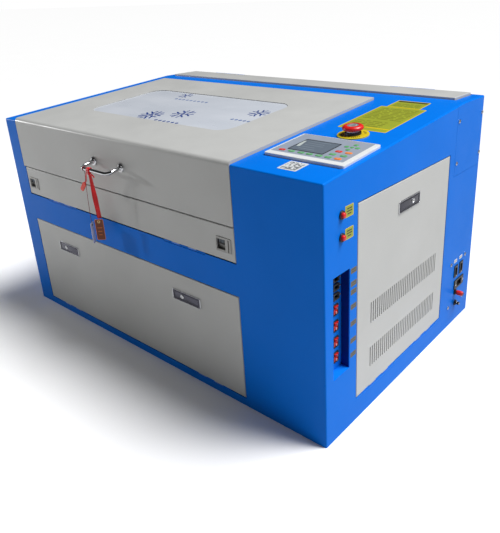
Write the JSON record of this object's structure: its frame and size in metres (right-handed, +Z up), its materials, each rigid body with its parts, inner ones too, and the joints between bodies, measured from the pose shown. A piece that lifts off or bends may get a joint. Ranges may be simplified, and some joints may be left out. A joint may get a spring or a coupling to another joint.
{
  "type": "laser engraver",
  "caption": "Desktop CO2 laser engraver: sheet metal cabinet with sloped hinged lid and window, pass-through flap, doors, side switches, control panel and moving gantry.",
  "frame": {"origin": "on the floor under the centre of the cabinet's bounding box, hang tags left out", "axes": "+X to the right of the front, -Y towards the user at the front, +Z up"},
  "size_m": [1.002, 0.7002, 0.552],
  "materials": {
    "blue_paint": "powder coat, satin gloss",
    "grey_paint": "powder coat, fine texture",
    "inner_steel": "matt",
    "steel": "machined",
    "galvanised": "galvanised",
    "chrome": "polished",
    "lock_metal": "dark chrome",
    "clear_acrylic": "film covered",
    "tube_glass": "clear",
    "aluminium": "anodised",
    "lens_brass": "black anodised",
    "black_plastic": "moulded",
    "red_plastic": "gloss",
    "white_plastic": "satin",
    "grey_plastic": "satin",
    "label_film": "printed film",
    "red_ribbon": "woven ribbon",
    "tag_card": "card"
  },
  "bodies": {
    "cabinet": {"base_pan": "blue_paint", "left_side_panel": "blue_paint", "right_side_panel": "blue_paint", "front_frame": "blue_paint", "top_deck": "blue_paint", "rear_panel": "blue_paint", "inner_walls": "inner_steel", "hinge_pins": "blue_paint", "cover_screws": "steel", "side_covers": "blue_paint", "exhaust_collar": "galvanised", "fan_housing": "steel", "switch_recess": "blue_paint", "switch_frames": "black_plastic", "panel_sockets": "black_plastic", "water_barbs": "black_plastic", "control_bezel": "white_plastic", "control_face": "grey_plastic", "stop_body": "black_plastic", "label_plates": "label_film", "laser_tube": "tube_glass", "tube_mounts": "inner_steel", "side_rails": "aluminium", "lift_frame": "steel", "electronics_units": "galvanised"},
    "lid": {"lid_panel": "grey_paint", "lid_window": "clear_acrylic", "lid_handle": "chrome"},
    "ribbon": {"key_ribbon": "red_ribbon", "hang_tags": "tag_card"},
    "strut_cylinders": {"strut_cylinders": "black_plastic"},
    "strut_rods": {"strut_rods": "steel"},
    "flap": {"flap_panel": "grey_paint", "flap_latch_frames": "grey_plastic"},
    "flap_latch_left": {"flap_latch_left": "black_plastic"},
    "flap_latch_right": {"flap_latch_right": "black_plastic"},
    "front_door": {"front_door": "grey_paint", "front_lock_cases": "lock_metal"},
    "front_paddle_left": {"front_paddle_left": "lock_metal"},
    "front_paddle_right": {"front_paddle_right": "lock_metal"},
    "side_door": {"side_door": "grey_paint", "side_lock_case": "lock_metal"},
    "side_paddle": {"side_paddle": "lock_metal"},
    "rear_cover": {"rear_cover": "grey_paint"},
    "stop_stem": {"stop_stem": "black_plastic"},
    "stop_cap": {"stop_cap": "red_plastic"},
    "push_button_upper": {"push_button_upper": "red_plastic"},
    "push_button_lower": {"push_button_lower": "red_plastic"},
    "rocker_1": {"rocker_1": "red_plastic"},
    "rocker_2": {"rocker_2": "red_plastic"},
    "rocker_3": {"rocker_3": "red_plastic"},
    "rocker_4": {"rocker_4": "red_plastic"},
    "gantry": {"gantry_beam": "aluminium"},
    "carriage": {"carriage_plate": "aluminium", "lens_tube": "lens_brass"},
    "bed": {"bed_frame": "aluminium", "knife_slats": "aluminium"},
    "lift_screw_left": {"lift_screw_left": "steel"},
    "lift_screw_right": {"lift_screw_right": "steel"},
    "fan_rotor": {"fan_rotor": "black_plastic"}
  },
  "joints": [
    {"name": "lid_hinge", "type": "hinge", "parent": "cabinet", "child": "lid", "pos_m": [-0.011, 0.16037, 0.54554], "axis": [-1, 0, 0], "range_deg": [0, 75]},
    {"name": "strut_pivot", "type": "hinge", "parent": "cabinet", "child": "strut_cylinders", "pos_m": [-0.011, 0.11, 0.414], "axis": [-1, 0, 0], "range_deg": [0, 54.53]},
    {"name": "strut_stroke", "type": "slide", "parent": "strut_cylinders", "child": "strut_rods", "axis": [0, -0.8816, 0.4719], "range_m": [0, 0.1452]},
    {"name": "flap_hinge", "type": "hinge", "parent": "cabinet", "child": "flap", "pos_m": [-0.082, -0.3076, 0.3134], "axis": [1, 0, 0], "range_deg": [0, 90]},
    {"name": "ribbon_swing", "type": "hinge", "parent": "lid", "child": "ribbon", "pos_m": [-0.097, -0.344, 0.44], "axis": [-1, 0, 0], "range_deg": [0, 45]},
    {"name": "flap_latch_left", "type": "slide", "parent": "flap", "child": "flap_latch_left", "axis": [0, 0, -1], "range_m": [0, 0.008], "stiffness_N_per_m": 150},
    {"name": "flap_latch_right", "type": "slide", "parent": "flap", "child": "flap_latch_right", "axis": [0, 0, -1], "range_m": [0, 0.008], "stiffness_N_per_m": 150},
    {"name": "front_door_hinge", "type": "hinge", "parent": "cabinet", "child": "front_door", "pos_m": [-0.081, -0.3076, 0.017], "axis": [1, 0, 0], "range_deg": [0, 90]},
    {"name": "front_paddle_left", "type": "hinge", "parent": "front_door", "child": "front_paddle_left", "pos_m": [-0.3385, -0.3089, 0.196], "axis": [0, 0, -1], "range_deg": [0, 50]},
    {"name": "front_paddle_right", "type": "hinge", "parent": "front_door", "child": "front_paddle_right", "pos_m": [0.096, -0.3089, 0.196], "axis": [0, 0, -1], "range_deg": [0, 50]},
    {"name": "side_door_hinge", "type": "hinge", "parent": "cabinet", "child": "side_door", "pos_m": [0.4766, -0.034, 0.0474], "axis": [0, 1, 0], "range_deg": [0, 90]},
    {"name": "side_paddle", "type": "hinge", "parent": "side_door", "child": "side_paddle", "pos_m": [0.4779, -0.0655, 0.391], "axis": [0, 0, -1], "range_deg": [0, 50]},
    {"name": "rear_cover_hinge", "type": "hinge", "parent": "cabinet", "child": "rear_cover", "pos_m": [-0.011, 0.3046, 0.5496], "axis": [-1, 0, 0], "range_deg": [0, 85]},
    {"name": "stop_press", "type": "slide", "parent": "cabinet", "child": "stop_stem", "axis": [0, 0.0888, -0.996], "range_m": [0, 0.0045]},
    {"name": "stop_twist", "type": "hinge", "parent": "stop_stem", "child": "stop_cap", "pos_m": [0.385, -0.08651, 0.53237], "axis": [0, -0.0888, 0.996], "range_deg": [0, 30], "stiffness_Nm_per_rad": 0.05},
    {"name": "push_button_upper", "type": "slide", "parent": "cabinet", "child": "push_button_upper", "axis": [-1, 0, 0], "range_m": [0, 0.003], "stiffness_N_per_m": 300},
    {"name": "push_button_lower", "type": "slide", "parent": "cabinet", "child": "push_button_lower", "axis": [-1, 0, 0], "range_m": [0, 0.003], "stiffness_N_per_m": 300},
    {"name": "rocker_1", "type": "hinge", "parent": "cabinet", "child": "rocker_1", "pos_m": [0.46, -0.255, 0.256], "axis": [0, -1, 0], "range_deg": [0, 18]},
    {"name": "rocker_2", "type": "hinge", "parent": "cabinet", "child": "rocker_2", "pos_m": [0.46, -0.255, 0.2235], "axis": [0, -1, 0], "range_deg": [0, 18]},
    {"name": "rocker_3", "type": "hinge", "parent": "cabinet", "child": "rocker_3", "pos_m": [0.46, -0.255, 0.1905], "axis": [0, -1, 0], "range_deg": [0, 18]},
    {"name": "rocker_4", "type": "hinge", "parent": "cabinet", "child": "rocker_4", "pos_m": [0.46, -0.255, 0.159], "axis": [0, -1, 0], "range_deg": [0, 18]},
    {"name": "gantry_travel", "type": "slide", "parent": "cabinet", "child": "gantry", "axis": [0, -1, 0], "range_m": [0, 0.3]},
    {"name": "carriage_travel", "type": "slide", "parent": "gantry", "child": "carriage", "axis": [-1, 0, 0], "range_m": [-0.05, 0.45]},
    {"name": "bed_lift", "type": "slide", "parent": "cabinet", "child": "bed", "axis": [0, 0, -1], "range_m": [0, 0.09]},
    {"name": "lift_screw_left", "type": "hinge", "parent": "cabinet", "child": "lift_screw_left", "pos_m": [-0.349, -0.085, 0.208], "axis": [0, 0, 1], "range_deg": [0, 3241]},
    {"name": "lift_screw_right", "type": "hinge", "parent": "cabinet", "child": "lift_screw_right", "pos_m": [0.197, -0.085, 0.208], "axis": [0, 0, 1], "range_deg": [0, 3241]},
    {"name": "fan_spin", "type": "hinge", "parent": "cabinet", "child": "fan_rotor", "pos_m": [-0.081, 0.282, 0.25], "axis": [0, 1, 0], "continuous": true}
  ],
  "couplings": [
    {"joint": "strut_pivot", "follows": "lid_hinge", "ratio": 0.72034},
    {"joint": "strut_stroke", "follows": "lid_hinge", "m_per_rad": 0.11017},
    {"joint": "ribbon_swing", "follows": "flap_hinge", "ratio": 0.45},
    {"joint": "lift_screw_left", "follows": "bed_lift", "rad_per_m": 628.32},
    {"joint": "lift_screw_right", "follows": "bed_lift", "rad_per_m": 628.32}
  ]
}
